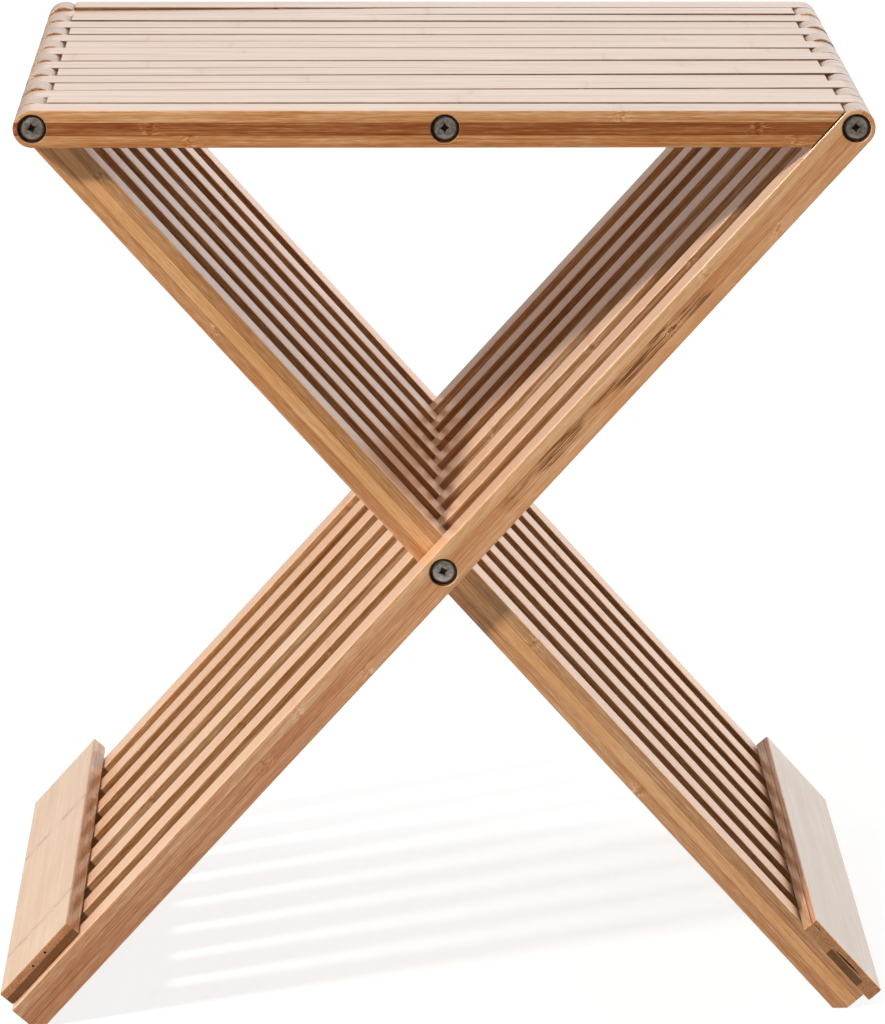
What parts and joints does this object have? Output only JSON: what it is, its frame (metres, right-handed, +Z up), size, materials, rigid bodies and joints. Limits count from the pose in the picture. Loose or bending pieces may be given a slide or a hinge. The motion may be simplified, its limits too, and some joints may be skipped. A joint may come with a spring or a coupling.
{
  "type": "folding stool",
  "caption": "Cross-legged folding stool of laminated bamboo slats turning on steel rods, with a slatted seat and a foot board glued across each side's leg ends.",
  "frame": {"origin": "on the floor, midway between the feet and midway from front to back", "axes": "+Z up, +X towards the right rod, +Y from the front of the stool to its back, along the rods"},
  "size_m": [0.4346, 0.286, 0.4575],
  "materials": {
    "seat_bamboo": "satin",
    "leg_bamboo": "satin",
    "board_bamboo": "satin",
    "rod_steel": "zinc plated",
    "screw_steel": "antiqued"
  },
  "bodies": {
    "legs_on_left_rod": {"leg_left_1": "leg_bamboo", "leg_left_2": "leg_bamboo", "leg_left_3": "leg_bamboo", "leg_left_4": "leg_bamboo", "leg_left_5": "leg_bamboo", "leg_left_6": "leg_bamboo", "leg_left_7": "leg_bamboo", "leg_left_8": "leg_bamboo", "foot_board_right": "board_bamboo", "rod_left": "rod_steel", "screws_left": "screw_steel", "rod_cross": "rod_steel", "screws_cross": "screw_steel"},
    "legs_on_right_rod": {"leg_right_1": "leg_bamboo", "leg_right_2": "leg_bamboo", "leg_right_3": "leg_bamboo", "leg_right_4": "leg_bamboo", "leg_right_5": "leg_bamboo", "leg_right_6": "leg_bamboo", "leg_right_7": "leg_bamboo", "leg_right_8": "leg_bamboo", "foot_board_left": "board_bamboo", "rod_right": "rod_steel", "screws_right": "screw_steel"},
    "seat_on_left_rod": {"seat_left_1": "seat_bamboo", "seat_left_2": "seat_bamboo", "seat_left_3": "seat_bamboo", "seat_left_4": "seat_bamboo", "seat_left_5": "seat_bamboo", "seat_left_6": "seat_bamboo", "seat_left_7": "seat_bamboo", "seat_left_8": "seat_bamboo", "rod_centre_left": "rod_steel", "screw_centre_front": "screw_steel"},
    "seat_on_right_rod": {"seat_right_1": "seat_bamboo", "seat_right_2": "seat_bamboo", "seat_right_3": "seat_bamboo", "seat_right_4": "seat_bamboo", "seat_right_5": "seat_bamboo", "seat_right_6": "seat_bamboo", "seat_right_7": "seat_bamboo", "seat_right_8": "seat_bamboo", "rod_centre_right": "rod_steel", "screw_centre_back": "screw_steel"}
  },
  "joints": [
    {"name": "fold", "type": "hinge", "parent": "legs_on_left_rod", "child": "legs_on_right_rod", "pos_m": [0, 0, 0.23248], "axis": [0, -1, 0], "range_deg": [0, 79.5]},
    {"name": "seat_left_hinge", "type": "hinge", "parent": "legs_on_left_rod", "child": "seat_on_left_rod", "pos_m": [-0.192, 0, 0.44848], "axis": [0, -1, 0], "range_deg": [0, 127]},
    {"name": "seat_right_hinge", "type": "hinge", "parent": "legs_on_right_rod", "child": "seat_on_right_rod", "pos_m": [0.192, 0, 0.44848], "axis": [0, 1, 0], "range_deg": [0, 127]}
  ],
  "couplings": [
    {"joint": "seat_left_hinge", "follows": "fold", "ratio": 1.5964},
    {"joint": "seat_right_hinge", "follows": "fold", "ratio": 1.5964}
  ]
}
